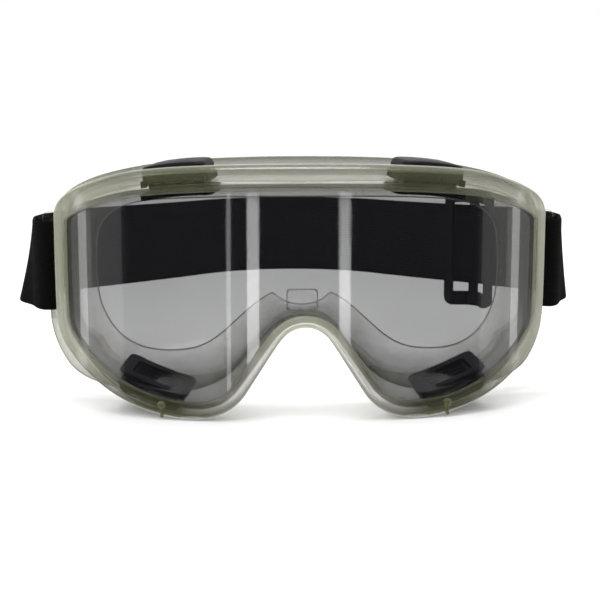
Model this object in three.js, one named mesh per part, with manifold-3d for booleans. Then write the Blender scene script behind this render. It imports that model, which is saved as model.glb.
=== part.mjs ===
// Wide-vision safety goggles: a bent clear lens in a soft moulded frame, four snap-in vents and a strap.
// Millimetres. +X is the viewer's right from the front, +Y runs back towards the face, +Z is up.
import * as THREE from "three";
import Module from "manifold-3d";
import { mergeVertices } from "three/addons/utils/BufferGeometryUtils.js";

const wasm = await Module();
wasm.setup();

// ---------------------------------------------------------------- driving dimensions
const LENS = { frontRadius: 170, frontHalfWidth: 46, sideRadius: 62, thickness: 2, grip: 2.2 };
const RIM = { front: 1.7, back: 5.2, bevel: 1.5, groovePlay: 0.3, grooveDepth: 2.5 };
const WALL = 1.9;
const FLANGE = 1.6;
const FOOT_FLAT = 0.45; // how much the lowest point of each lobe is cut flat to stand on
const GAP = 0.3; // play between neighbouring pieces

const STRAP = { width: 31, thickness: 1.4, layerOffset: 0.85, middle: 46.5 };
const STRAP_FACET = THREE.MathUtils.degToRad(9);
const LUG = { x: 87.6, y: 46.5, bar: 2.8, inner: 77.5, slotInner: 80.6, slotHeight: 33, arm: 4.4 };
const LOOP_RADIUS = 3; // middle of the webbing where it wraps the lug's bar
const LOOP_MERGE = 11; // where the two layers behind the bar come together
const HINGE_RADIUS = 17; // the strap swings beyond this distance from the line through both bars
// Turns of the strap's path, seen from above, between the two bars: x, y, radius.
const STRAP_TURNS = [
  [105.3, 71.3, 17],
  [0, 171.7, 50],
  [-105.3, 71.3, 17],
];
const FOLD_END = 37; // length along the strap where its sewn-back end stops
const TACK = { at: 33, width: 2.2, height: 27, thickness: 0.5 };

const SLIDER = {
  width: 22,
  height: 46.5,
  corner: 3.5,
  plate: 1.6,
  bar: 3.5,
  slotHeight: 35.6,
  drop: 1.9, // how far its middle hangs below the strap's
  at: 74.1, // length along the strap from the right bar
  play: 0.4,
};
const VENT = {
  ring: [24.5, 16.5, 3], // length, width, corner radius of the frame seen inside
  neck: [18.6, 11.8, 1.5],
  opening: [16.2, 9.4, 0.8],
  cap: [22.6, 16.5, 3],
  capWall: 1.5,
  ringPlay: 0.5, // clearance between the inner ring and its seat
  capPlay: 0.5,
  room: 0.5, // clearance round the ring and the cap
  seatRim: 2.4,
  neckTop: 2.6,
  grid: 1.2,
};
// Where the vents sit: curve of the outline, place along it, share of the way back to the flange, and how
// far the ring stands in and the cap stands out from the wall.
const VENT_PLACES = {
  top: { curve: 0, place: 0.57, depth: 0.32, ring: 5.2, cap: 6.9 },
  bottom: { curve: 4, place: 0.72, depth: 0.48, ring: 3.2, cap: 4.8 },
};
const LENS_STUD = { w: 46.5, z: 5.9, radius: 1.3, proud: 0.5 };
const NOSE_TAB = { width: 10.6, y: 26.4, bottom: 33, top: 40.4 };

// ---------------------------------------------------------------- solids and meshes
function toSolid(geometry) {
  const bare = geometry.index ? geometry.toNonIndexed() : geometry.clone();
  bare.deleteAttribute("normal");
  bare.deleteAttribute("uv");
  const merged = mergeVertices(bare, 1e-4);
  return new wasm.Manifold(
    new wasm.Mesh({
      numProp: 3,
      vertProperties: new Float32Array(merged.attributes.position.array),
      triVerts: new Uint32Array(merged.index.array),
    }),
  );
}

function toGeometry(solid) {
  const mesh = solid.getMesh();
  const geometry = new THREE.BufferGeometry();
  geometry.setAttribute("position", new THREE.BufferAttribute(mesh.vertProperties, 3));
  geometry.setIndex(new THREE.BufferAttribute(mesh.triVerts, 1));
  geometry.computeVertexNormals();
  return geometry;
}

// A box solid in the space of a 4x4 matrix, from its centre and its three sides.
function boxSolid(matrix, [x, y, z], [dx, dy, dz]) {
  return toSolid(new THREE.BoxGeometry(dx, dy, dz).translate(x, y, z).applyMatrix4(matrix));
}

// A flat shape pushed along +Z in the space of a 4x4 matrix.
function plateSolid(matrix, shape, from, depth) {
  const plate = new THREE.ExtrudeGeometry(shape, { depth, bevelEnabled: false, curveSegments: 5 });
  return toSolid(plate.translate(0, 0, from).applyMatrix4(matrix));
}

function roundedRectangle(width, height, radius) {
  const x = width / 2;
  const y = height / 2;
  const shape = new THREE.Shape();
  shape.absarc(x - radius, y - radius, radius, 0, Math.PI / 2);
  shape.absarc(radius - x, y - radius, radius, Math.PI / 2, Math.PI);
  shape.absarc(radius - x, radius - y, radius, Math.PI, 1.5 * Math.PI);
  shape.absarc(x - radius, radius - y, radius, 1.5 * Math.PI, 2 * Math.PI);
  shape.closePath();
  return shape;
}

function mirroredSolid(solid) {
  const geometry = toGeometry(solid).scale(-1, 1, 1);
  const index = geometry.index.array.slice();
  for (let i = 0; i < index.length; i += 3) {
    [index[i + 1], index[i + 2]] = [index[i + 2], index[i + 1]];
  }
  return toSolid(geometry.setIndex(new THREE.BufferAttribute(index, 1)));
}

// A closed surface through equal closed sections: a ring of them, or a run with a flat cap on each end.
function skin(sections, isRing) {
  const size = sections[0].length;
  const positions = sections.flat().flatMap((p) => [p.x, p.y, p.z]);
  const index = [];
  const spans = isRing ? sections.length : sections.length - 1;
  for (let i = 0; i < spans; i += 1) {
    const a = i * size;
    const b = ((i + 1) % sections.length) * size;
    for (let j = 0; j < size; j += 1) {
      const k = (j + 1) % size;
      index.push(a + j, a + k, b + j, a + k, b + k, b + j);
    }
  }
  if (!isRing) {
    const last = (sections.length - 1) * size;
    for (let j = 1; j < size - 1; j += 1) {
      index.push(0, j + 1, j, last, last + j, last + j + 1);
    }
  }
  const geometry = new THREE.BufferGeometry();
  geometry.setAttribute("position", new THREE.Float32BufferAttribute(positions, 3));
  geometry.setIndex(index);
  return geometry;
}

// ---------------------------------------------------------------- the bent sheet of the lens
const FRONT_ANGLE = Math.asin(LENS.frontHalfWidth / LENS.frontRadius);
const FRONT_ARC = LENS.frontRadius * FRONT_ANGLE;

// From a place on the flat sheet, width w and height z, and a depth v behind its front, to space.
function bend(w, z, v) {
  const arc = Math.abs(w);
  const isFront = arc <= FRONT_ARC;
  const radius = isFront ? LENS.frontRadius : LENS.sideRadius;
  const angle = isFront ? arc / radius : FRONT_ANGLE + (arc - FRONT_ARC) / radius;
  const shift = LENS.frontRadius - radius;
  const x = shift * Math.sin(FRONT_ANGLE) + (radius - v) * Math.sin(angle);
  const y = LENS.frontRadius - shift * Math.cos(FRONT_ANGLE) - (radius - v) * Math.cos(angle);
  return new THREE.Vector3(w < 0 ? -x : x, y, z);
}

// ---------------------------------------------------------------- outlines of the frame
// Each outline is the right half, from the top centre round the temple and cheek to the nose's centre, in
// eight curves: brow, brow corner, temple, cheek corner, cheek, lobe, side of the nose, arch of the nose.
const STEPS = [10, 7, 5, 4, 9, 6, 4, 4];

// Rim, on the flat sheet: width, height.
const RIM_OUTLINE = [
  [[0, 83.6], [34, 83.6], [54, 82.4], [66, 79.3]],
  [[66, 79.3], [79, 75.9], [94.2, 73], [94.2, 64]],
  [[94.2, 64], [94.2, 54], [94.4, 44], [93.8, 34]],
  [[93.8, 34], [93.4, 28], [91.5, 24.2], [87.5, 21]],
  [[87.5, 21], [76, 11.8], [57, 1.3], [38, 0.8]],
  [[38, 0.8], [30, 0.6], [23.5, 3.6], [19.5, 9.6]],
  [[19.5, 9.6], [15.8, 15.2], [12.2, 21], [8.8, 26]],
  [[8.8, 26], [6.3, 29.6], [3.6, 31.4], [0, 31.4]],
];

// Outer edge of the face flange: x, y, z.
const FLANGE_OUTLINE = [
  [[0, 36, 84.4], [26, 36, 84.4], [44, 39, 83.2], [58, 45, 80.2]],
  [[58, 45, 80.2], [71, 50.6, 77.4], [85.2, 57, 73], [86.6, 61, 62]],
  [[86.6, 61, 62], [87.8, 64.4, 52.6], [89, 63.5, 40], [88.8, 58.5, 30]],
  [[88.8, 58.5, 30], [88.7, 56, 25], [87, 52.2, 18.7], [82, 47.5, 12.5]],
  [[82, 47.5, 12.5], [77, 42.8, 5.6], [62, 34.4, 3], [42, 30.5, 4.4]],
  [[42, 30.5, 4.4], [34, 29, 5], [27, 28.3, 8], [22.5, 27.6, 13]],
  [[22.5, 27.6, 13], [19, 27, 17], [14.5, 26, 22.5], [11, 25, 26.5]],
  [[11, 25, 26.5], [7.5, 24.2, 30], [4, 23.5, 31.8], [0, 23.5, 31.8]],
];

// Inner edge of the face flange: x, y, z.
const FLANGE_OPENING = [
  [[0, 34.5, 70.6], [24, 34.5, 70.6], [38, 36.5, 70.4], [50, 41, 69.2]],
  [[50, 41, 69.2], [60, 44.8, 68.2], [69, 53, 64.5], [71, 57, 56]],
  [[71, 57, 56], [72, 59, 51.5], [72.3, 58, 42], [70.6, 54.5, 34.5]],
  [[70.6, 54.5, 34.5], [70, 52.8, 31.5], [67.6, 50, 26.6], [64, 46.5, 23.4]],
  [[64, 46.5, 23.4], [57.5, 40.2, 17.6], [48, 33.6, 17.8], [39, 32.2, 19.2]],
  [[39, 32.2, 19.2], [33.5, 31.4, 20], [29.5, 31, 22.8], [25.5, 30.6, 26.4]],
  [[25.5, 30.6, 26.4], [20.5, 30.2, 31], [15, 30, 36.6], [10.4, 29.8, 38.6]],
  [[10.4, 29.8, 38.6], [8.4, 29.4, 39.2], [6.4, 28.2, 35.8], [0, 27.5, 35.8]],
];

// Sizes at the ends of those curves, from the top centre to the nose's centre.
const LIP_WIDTH = [8.2, 8.4, 8.6, 8.4, 7.4, 6.4, 5.2, 4.4, 4.4];
const WALL_INSET = [6, 5, 3.2, 3.8, 4.8, 4.8, 2.6, 1.2, 1];
const FLANGE_INSET = [6.4, 5, 3.5, 3.8, 14, 6.8, 2.4, 1, 0.8];

function bezier(points, t) {
  const weights = [(1 - t) ** 3, 3 * t * (1 - t) ** 2, 3 * t * t * (1 - t), t ** 3];
  return points[0].map((_, axis) => weights.reduce((sum, weight, i) => sum + weight * points[i][axis], 0));
}

function bezierSlope(points, t) {
  const weights = [(1 - t) ** 2, 2 * t * (1 - t), t * t];
  return points[0].map((_, axis) =>
    weights.reduce((sum, weight, i) => sum + weight * (points[i + 1][axis] - points[i][axis]), 0),
  );
}

// Everything the frame's section needs at a place t along curve number c.
function station(c, t) {
  const [w, z] = bezier(RIM_OUTLINE[c], t);
  const [slopeW, slopeZ] = bezierSlope(RIM_OUTLINE[c], t);
  const length = Math.hypot(slopeW, slopeZ);
  return {
    w,
    z,
    outW: -slopeZ / length,
    outZ: slopeW / length,
    lip: THREE.MathUtils.lerp(LIP_WIDTH[c], LIP_WIDTH[c + 1], t),
    inset: THREE.MathUtils.lerp(WALL_INSET[c], WALL_INSET[c + 1], t),
    flangeInset: THREE.MathUtils.lerp(FLANGE_INSET[c], FLANGE_INSET[c + 1], t),
    flangeOut: new THREE.Vector3(...bezier(FLANGE_OUTLINE[c], t)),
    flangeIn: new THREE.Vector3(...bezier(FLANGE_OPENING[c], t)),
  };
}

function halfStations() {
  const list = STEPS.flatMap((steps, c) => Array.from({ length: steps }, (_, i) => station(c, i / steps)));
  return [...list, station(STEPS.length - 1, 1)];
}

// A point of the rim, u outwards from the outline along the sheet and v behind the lens's front.
function rimPoint(s, u, v) {
  return bend(s.w + u * s.outW, s.z + u * s.outZ, v);
}

function flangePoint(s, inset) {
  const inwards = s.flangeIn.clone().sub(s.flangeOut).normalize();
  return s.flangeOut.clone().addScaledVector(inwards, inset);
}

// The frame is one moulding, made here as a rim, a wall and a face flange, so that each is a slim ring.

// The rim's closed section, with the groove that grips the lens.
function rimSection(s) {
  const groove = s.lip - RIM.grooveDepth;
  const lensBack = LENS.thickness + RIM.groovePlay;
  return [
    rimPoint(s, -RIM.bevel, -RIM.front),
    rimPoint(s, 0.4 - s.lip, -RIM.front),
    rimPoint(s, -s.lip, 0.4 - RIM.front),
    rimPoint(s, -s.lip, -RIM.groovePlay),
    rimPoint(s, -groove, -RIM.groovePlay),
    rimPoint(s, -groove, lensBack),
    rimPoint(s, 0.6 - s.lip, lensBack),
    rimPoint(s, 1.2 - s.lip, lensBack + 1.7),
    rimPoint(s, -s.inset - WALL, RIM.back),
    rimPoint(s, -0.3, RIM.back),
    rimPoint(s, 0, RIM.back - 1),
    rimPoint(s, 0, 1),
  ];
}

// The wall's closed section, from just behind the rim to just in front of the flange.
function wallSection(s) {
  const play = new THREE.Vector3(0, -GAP - 0.1, 0);
  return [
    rimPoint(s, -s.inset - WALL, RIM.back + GAP),
    flangePoint(s, s.flangeInset + WALL).add(play),
    flangePoint(s, s.flangeInset).add(play),
    rimPoint(s, -s.inset, RIM.back + 1.8),
    rimPoint(s, -s.inset, RIM.back + GAP),
  ];
}

function flangeSection(s) {
  const back = new THREE.Vector3(0, FLANGE, 0);
  const [outer, inner] = [s.flangeOut, s.flangeIn];
  return [inner.clone(), inner.clone().add(back), outer.clone().add(back), outer.clone()];
}

// The space the wall takes up, with a little play outside it and more inside it.
function wallRoomSection(s) {
  return [
    rimPoint(s, -s.inset - 12, 0),
    flangePoint(s, s.flangeInset + 12),
    flangePoint(s, s.flangeInset - GAP),
    rimPoint(s, GAP - s.inset, 0),
  ];
}

// The space in front of the wall, and the space behind it.
function frontRoomSection(s) {
  const back = RIM.back + GAP;
  const inner = -s.lip - 4;
  return [rimPoint(s, 4, -6), rimPoint(s, inner, -6), rimPoint(s, inner, back), rimPoint(s, 4, back)];
}

function backRoomSection(s) {
  const width = s.flangeOut.distanceTo(s.flangeIn);
  const front = new THREE.Vector3(0, -GAP - 0.1, 0);
  const back = new THREE.Vector3(0, 4, 0);
  const [outer, inner] = [flangePoint(s, -4), flangePoint(s, width + 4)];
  return [outer.clone().add(front), inner.clone().add(front), inner.add(back), outer.add(back)];
}

// A ring all the way round the frame with the section that sectionAt gives for each place.
function frameRing(sectionAt) {
  const right = halfStations().map(sectionAt);
  const across = (section) => section.map((p) => new THREE.Vector3(-p.x, p.y, p.z));
  const left = right.slice(1, -1).reverse().map(across);
  return toSolid(skin([...right, ...left], true));
}

// ---------------------------------------------------------------- frame details
// The eye beside the right temple that the strap passes through: a bar joined to the wall by two arms.
function lugSolid() {
  const outer = LUG.x + LUG.bar / 2;
  const middle = (outer + LUG.inner) / 2;
  const eye = roundedRectangle(outer - LUG.inner, LUG.slotHeight + 2 * LUG.arm, 2);
  const slotWidth = LUG.x - LUG.bar / 2 - LUG.slotInner;
  const slotMiddle = LUG.slotInner + slotWidth / 2;
  const upright = new THREE.Matrix4().makeTranslation(middle, LUG.y, STRAP.middle);
  upright.multiply(new THREE.Matrix4().makeRotationX(Math.PI / 2));
  const plate = plateSolid(upright, eye, -LUG.bar / 2, LUG.bar);
  const slot = [slotWidth, LUG.slotHeight, 3 * LUG.bar];
  return plate.subtract(boxSolid(upright, [slotMiddle - middle, 0, 0], slot));
}

function noseTabSolid() {
  const height = NOSE_TAB.top - NOSE_TAB.bottom;
  const upright = new THREE.Matrix4().makeTranslation(0, NOSE_TAB.y, NOSE_TAB.bottom + height / 2);
  upright.multiply(new THREE.Matrix4().makeRotationX(Math.PI / 2));
  return plateSolid(upright, roundedRectangle(NOSE_TAB.width, height, 1), -FLANGE / 2, FLANGE);
}

// A round stud on the lower lip that marks where the lens is keyed.
function lensStudSolid() {
  const place = bend(LENS_STUD.w, LENS_STUD.z, -RIM.front - LENS_STUD.proud);
  const behind = bend(LENS_STUD.w, LENS_STUD.z, 0);
  const length = place.distanceTo(behind) - RIM.groovePlay - 0.1;
  const stud = new THREE.CylinderGeometry(LENS_STUD.radius, LENS_STUD.radius, length, 16);
  const axis = behind.clone().sub(place).normalize();
  const turn = new THREE.Quaternion().setFromUnitVectors(new THREE.Vector3(0, 1, 0), axis);
  const middle = place.addScaledVector(axis, length / 2);
  return toSolid(stud.applyQuaternion(turn).translate(middle.x, middle.y, middle.z));
}

function bothSides(solid) {
  return solid.add(mirroredSolid(solid));
}

function clearOfVents(solid) {
  const rooms = Object.values(VENT_PLACES).map((place) => bothSides(ventRoom(place)));
  return rooms.reduce((left, room) => left.subtract(room), solid);
}

function frameRim() {
  return clearOfVents(frameRing(rimSection).add(bothSides(lensStudSolid())));
}

function frameWall() {
  const ends = frameRing(frontRoomSection).add(frameRing(backRoomSection));
  const seats = Object.values(VENT_PLACES).map((place) => bothSides(ventSeat(place)).subtract(ends));
  return seats.reduce((wall, seat) => wall.add(seat), clearOfVents(frameRing(wallSection)));
}

function faceFlange() {
  return clearOfVents(frameRing(flangeSection).add(noseTabSolid()));
}

// An eye for the strap, kept clear of the wall that it is moulded on.
function strapLug() {
  return lugSolid().subtract(frameRing(wallRoomSection));
}

// Everything below the height where the two lobes are flat to stand on.
function groundSolid(rim) {
  const lowest = new THREE.Box3().setFromBufferAttribute(toGeometry(rim).attributes.position).min.z;
  const depth = 10;
  return boxSolid(new THREE.Matrix4(), [0, 0, lowest + FOOT_FLAT - depth / 2], [400, 400, depth]);
}

// ---------------------------------------------------------------- lens
// The frame's outline moved inwards to the edge of the lens, on the flat sheet, for the right half.
function lensOutline() {
  return halfStations().map((s) => {
    const inset = s.lip - LENS.grip;
    return [s.w - inset * s.outW, s.z - inset * s.outZ];
  });
}

// Height of a run of outline points at a distance w along the sheet.
function heightAt(run, w) {
  const next = Math.max(1, run.findIndex(([place]) => place >= w - 1e-9));
  const [w0, z0] = run[next - 1];
  const [w1, z1] = run[next];
  return z0 + ((z1 - z0) * (w - w0)) / (w1 - w0);
}

function lensColumns(end) {
  const fine = Array.from({ length: 15 }, (_, i) => i * 1.6);
  const coarse = Array.from({ length: 13 }, (_, i) => 24 + i * 4);
  const corner = Array.from({ length: 8 }, (_, i) => 76 + (end - 76) * Math.sin(((i / 7) * Math.PI) / 2));
  return [...fine, ...coarse, ...corner];
}

function lens() {
  const outline = lensOutline();
  const widest = outline.reduce((best, p, i) => (p[0] > outline[best][0] ? i : best), 0);
  const upper = outline.slice(0, widest + 1);
  const lower = outline.slice(widest).reverse();
  const end = outline[widest][0] - 0.15;
  const column = (w) => {
    const top = heightAt(upper, Math.abs(w));
    const bottom = heightAt(lower, Math.abs(w));
    const back = LENS.thickness;
    return [bend(w, top, 0), bend(w, bottom, 0), bend(w, bottom, back), bend(w, top, back)];
  };
  const right = lensColumns(end);
  const columns = [...right.slice(1).reverse().map((w) => -w), ...right];
  return toSolid(skin(columns.map(column), false));
}

// ---------------------------------------------------------------- vents
// Axes of a vent on the right half: X along the wall, Y from the rim to the flange, Z out of the goggles.
// The origin is on the wall's outer face.
function ventAxes({ curve, place, depth }) {
  const outside = (t, share) => {
    const s = station(curve, t);
    return rimPoint(s, -s.inset, RIM.back + 1.8).lerp(flangePoint(s, s.flangeInset), share);
  };
  const back = outside(place, depth + 0.3).sub(outside(place, depth - 0.3)).normalize();
  const along = outside(place + 0.12, depth).sub(outside(place - 0.12, depth)).normalize();
  const out = along.clone().cross(back).normalize();
  const across = out.clone().cross(along);
  return new THREE.Matrix4().makeBasis(along, across, out).setPosition(outside(place, depth));
}

function ventPlate(axes, [length, width, radius], from, to, trim = 0) {
  const plate = roundedRectangle(length - 2 * trim, width - 2 * trim, radius);
  return plateSolid(axes, plate, from, to - from);
}

// The space a vent and its seat take up across the wall.
function ventRoom(place) {
  return ventPlate(ventAxes(place), VENT.ring, -WALL - place.ring - 0.6, place.cap + 0.6, -VENT.room);
}

// The flat seat moulded in the wall for a vent: a plate, a low rim round the ring and a hole for the neck.
function ventSeat(place) {
  const axes = ventAxes(place);
  const block = ventPlate(axes, VENT.ring, -WALL - VENT.seatRim, 0, -VENT.room - 1.4);
  const recess = ventPlate(axes, VENT.ring, -WALL - VENT.seatRim - 1, -WALL, -VENT.room);
  return block.subtract(recess).subtract(ventPlate(axes, VENT.neck, -WALL - 1, 1, -GAP));
}

// The plug pushed in from inside: a ring with a neck that passes through the wall.
function ventPlug(place) {
  const axes = ventAxes(place);
  const ring = ventPlate(axes, VENT.ring, -WALL - place.ring, -WALL - VENT.ringPlay);
  const neck = ventPlate(axes, VENT.neck, -WALL - place.ring + 0.5, VENT.neckTop);
  return ring.add(neck).subtract(ventPlate(axes, VENT.opening, -WALL - place.ring - 1, VENT.neckTop + 1));
}

// The slotted plate set back in the plug's opening.
function ventGrid(place) {
  const axes = ventAxes(place);
  const face = 1.6 - WALL - place.ring;
  let grid = ventPlate(axes, VENT.opening, face, face + VENT.grid, GAP);
  for (const x of [-5.4, -1.8, 1.8, 5.4]) {
    grid = grid.subtract(boxSolid(axes, [x, 0, face], [1.4, 6, 4 * VENT.grid]));
  }
  return grid;
}

// The hooded cover outside: open towards the wall, with three air slots in each long side.
function ventCap(place) {
  const axes = ventAxes(place);
  const inside = ventPlate(axes, VENT.cap, VENT.capPlay - 1, place.cap - VENT.capWall, VENT.capWall);
  let cap = ventPlate(axes, VENT.cap, VENT.capPlay, place.cap).subtract(inside);
  for (const x of [-5.6, 0, 5.6]) {
    cap = cap.subtract(boxSolid(axes, [x, 0, VENT.capPlay + 0.2], [4, 40, 2.4]));
  }
  return cap;
}

// ---------------------------------------------------------------- strap
// The strap's path from bar to bar, as straight and round stretches with their lengths.
function strapStretches() {
  const corners = [[LUG.x, LUG.y, 0], ...STRAP_TURNS, [-LUG.x, LUG.y, 0]];
  const places = corners.map(([x, y]) => new THREE.Vector2(x, y));
  const stretches = [];
  let start = places[0];
  for (let i = 1; i < corners.length; i += 1) {
    const heading = places[i].clone().sub(places[i - 1]).normalize();
    const next = i + 1 < places.length ? places[i + 1].clone().sub(places[i]).normalize() : heading;
    const turn = Math.acos(THREE.MathUtils.clamp(heading.dot(next), -1, 1));
    const radius = corners[i][2];
    const end = places[i].clone().addScaledVector(heading, -radius * Math.tan(turn / 2));
    stretches.push({ start, heading, length: end.distanceTo(start), bend: 0 });
    if (radius > 0) {
      stretches.push({ start: end, heading, length: radius * turn, bend: 1 / radius });
    }
    start = places[i].clone().addScaledVector(next, radius * Math.tan(turn / 2));
  }
  return stretches;
}

const STRETCHES = strapStretches();
const STRAP_LENGTH = STRETCHES.reduce((sum, stretch) => sum + stretch.length, 0);

// Place, heading and outward direction at a length s along the strap from the right bar.
function strapAt(s) {
  let rest = s;
  let stretch = STRETCHES[0];
  for (stretch of STRETCHES) {
    if (rest <= stretch.length) break;
    rest -= stretch.length;
  }
  const turned = rest * stretch.bend;
  const heading = stretch.heading.clone().rotateAround(new THREE.Vector2(), turned);
  const chord = stretch.bend ? (2 * Math.sin(turned / 2)) / stretch.bend : rest;
  const along = stretch.heading.clone().rotateAround(new THREE.Vector2(), turned / 2);
  const place = stretch.start.clone().addScaledVector(along, chord);
  return { place, heading, out: new THREE.Vector2(heading.y, -heading.x) };
}

// How far each layer of webbing lies from the path: less and less from its wrap round the bar to the merge.
function layerOffset(s) {
  const fromBar = Math.min(s, STRAP_LENGTH - s);
  const share = Math.min(1, fromBar / LOOP_MERGE);
  return THREE.MathUtils.lerp(LOOP_RADIUS, STRAP.layerOffset, share);
}

// Lengths along the strap to draw it through: ends, merges, ends of stretches and steps of its turns.
function strapStops(from, to) {
  const stops = [from, LOOP_MERGE, STRAP_LENGTH - LOOP_MERGE, to];
  let done = 0;
  for (const { length, bend: turning } of STRETCHES) {
    const parts = Math.max(1, Math.round((length * turning) / STRAP_FACET));
    for (let i = 0; i < parts; i += 1) stops.push(done + (length * i) / parts);
    done += length;
  }
  return stops.filter((s) => s >= from && s <= to).sort((a, b) => a - b);
}

function layerFace(s, layer, face) {
  const { place, out } = strapAt(s);
  return place.addScaledVector(out, layer * layerOffset(s) + (face * STRAP.thickness) / 2);
}

function standingWeb(points) {
  const lowerEdge = STRAP.middle - STRAP.width / 2;
  return plateSolid(new THREE.Matrix4(), new THREE.Shape(points), lowerEdge, STRAP.width);
}

// One layer of webbing between two lengths; layer is 1 for the outer and -1 for the inner one.
function webSolid(from, to, layer) {
  const stops = strapStops(from, to);
  const outside = stops.map((s) => layerFace(s, layer, 1));
  const inside = stops.map((s) => layerFace(s, layer, -1)).reverse();
  return standingWeb([...outside, ...inside]);
}

function hingeCylinder(radius) {
  const cylinder = new THREE.CylinderGeometry(radius, radius, 2 * HINGE_RADIUS + 2 * LUG.x, 72);
  return toSolid(cylinder.rotateZ(Math.PI / 2).translate(0, LUG.y, STRAP.middle));
}

function wrapPoints(radius) {
  const { place, heading, out } = strapAt(0);
  return Array.from({ length: 7 }, (_, i) => {
    const angle = ((i + 1) / 8) * Math.PI;
    const aside = out.clone().multiplyScalar(radius * Math.cos(angle));
    return place.clone().add(aside).addScaledVector(heading, -radius * Math.sin(angle));
  });
}

// The webbing wrapped round the right bar, up to the distance where it starts to swing.
function strapLoop() {
  const stops = strapStops(0, HINGE_RADIUS + 7);
  const away = [...stops].reverse();
  const wrap = [
    ...away.map((s) => layerFace(s, 1, 1)),
    ...wrapPoints(LOOP_RADIUS + STRAP.thickness / 2),
    ...stops.map((s) => layerFace(s, -1, -1)),
    ...away.map((s) => layerFace(s, -1, 1)),
    ...wrapPoints(LOOP_RADIUS - STRAP.thickness / 2).reverse(),
    ...stops.map((s) => layerFace(s, 1, -1)),
  ];
  return standingWeb(wrap).intersect(hingeCylinder(HINGE_RADIUS));
}

function strapLayer(from, to, layer) {
  return webSolid(from, to, layer).subtract(hingeCylinder(HINGE_RADIUS + GAP));
}

// Axes standing on the strap: X along it, Y up, Z outwards, on the path itself.
function strapAxes(s) {
  const { place, heading, out } = strapAt(s);
  const along = new THREE.Vector3(heading.x, heading.y, 0);
  const up = new THREE.Vector3(0, 0, 1);
  const axes = new THREE.Matrix4().makeBasis(along, up, new THREE.Vector3(out.x, out.y, 0));
  return axes.setPosition(place.x, place.y, STRAP.middle);
}

// A dense bar of stitches across the strap, on its outer (1) or inner (-1) face.
function barTack(s, side) {
  const reach = STRAP.layerOffset + STRAP.thickness / 2 + GAP + TACK.thickness / 2;
  return boxSolid(strapAxes(s), [0, 0, side * reach], [TACK.width, TACK.height, TACK.thickness]);
}

// ---------------------------------------------------------------- slider
// Depth of the slider's bent plate: the middle bar lies outside the strap and the end bars inside it.
function sliderDepth(x) {
  const reach = (STRAP.thickness + SLIDER.plate) / 2 + SLIDER.play;
  const flatFrom = SLIDER.bar / 2 + 0.2;
  const flatTo = SLIDER.width / 2 - SLIDER.bar - 0.2;
  const share = THREE.MathUtils.clamp((Math.abs(x) - flatFrom) / (flatTo - flatFrom), 0, 1);
  return reach * Math.cos(Math.PI * share);
}

function slider() {
  const axes = strapAxes(SLIDER.at).multiply(
    new THREE.Matrix4().makeTranslation(0, -SLIDER.drop, STRAP.layerOffset),
  );
  const steps = Array.from({ length: 23 }, (_, i) => SLIDER.width * (i / 22 - 0.5));
  const half = SLIDER.plate / 2;
  const behind = steps.map((x) => new THREE.Vector2(x, sliderDepth(x) - half));
  const front = steps.map((x) => new THREE.Vector2(x, sliderDepth(x) + half)).reverse();
  const lying = axes.clone().multiply(new THREE.Matrix4().makeRotationX(Math.PI / 2));
  const wave = new THREE.Shape([...behind, ...front]);
  const plate = plateSolid(lying, wave, -SLIDER.height / 2, SLIDER.height);
  const outline = plateSolid(axes, roundedRectangle(SLIDER.width, SLIDER.height, SLIDER.corner), -10, 20);
  const slotWidth = (SLIDER.width - 3 * SLIDER.bar) / 2;
  const slotAt = (SLIDER.bar + slotWidth) / 2;
  let body = plate.intersect(outline);
  for (const side of [-1, 1]) {
    body = body.subtract(boxSolid(axes, [side * slotAt, 0, 0], [slotWidth, SLIDER.slotHeight, 20]));
  }
  return body;
}

// ---------------------------------------------------------------- the whole object
const MATERIALS = {
  softVinyl: { color: 0x9a998c, roughness: 0.35, metalness: 0 },
  clearLens: { color: 0xcfd2d6, roughness: 0.05, metalness: 0 },
  blackPlastic: { color: 0x2a2826, roughness: 0.5, metalness: 0 },
  ventGrid: { color: 0x1d191b, roughness: 0.7, metalness: 0 },
  elastic: { color: 0x131210, roughness: 0.95, metalness: 0 },
  thread: { color: 0x24221f, roughness: 0.9, metalness: 0 },
};

function piece(name, solid, material) {
  const mesh = new THREE.Mesh(toGeometry(solid), new THREE.MeshStandardMaterial(MATERIALS[material]));
  mesh.name = name;
  return mesh;
}

function pair(name, solid, material) {
  return [piece(`${name}_right`, solid, material), piece(`${name}_left`, mirroredSolid(solid), material)];
}

function vents() {
  return Object.entries(VENT_PLACES).flatMap(([row, place]) => [
    ...pair(`vent_plug_${row}`, ventPlug(place), "blackPlastic"),
    ...pair(`vent_grid_${row}`, ventGrid(place), "ventGrid"),
    ...pair(`vent_cap_${row}`, ventCap(place), "blackPlastic"),
  ]);
}

function strap() {
  const tailEnd = SLIDER.at - SLIDER.width / 2 - 0.6;
  const fold = mirroredSolid(strapLayer(4, FOLD_END, -1));
  return [
    ...pair("strap_loop", strapLoop(), "elastic"),
    piece("strap_band", strapLayer(4, STRAP_LENGTH - 4, 1), "elastic"),
    piece("strap_fold_left", fold, "elastic"),
    piece("strap_tail_right", strapLayer(4, tailEnd, -1), "elastic"),
    piece("strap_tack_left", mirroredSolid(barTack(TACK.at, 1)), "thread"),
    piece("strap_tack_right", barTack(tailEnd - 4, -1), "thread"),
  ];
}

const goggles = new THREE.Group();
const rim = frameRim();
const ground = groundSolid(rim);
goggles.add(piece("frame_rim", rim.subtract(ground), "softVinyl"));
goggles.add(piece("frame_wall", frameWall().subtract(ground), "softVinyl"));
goggles.add(piece("face_flange", faceFlange(), "softVinyl"));
goggles.add(...pair("strap_lug", strapLug(), "softVinyl"));
goggles.add(piece("lens", lens(), "clearLens"));
goggles.add(...vents(), ...strap());
goggles.add(piece("strap_slider", slider(), "blackPlastic"));

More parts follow.
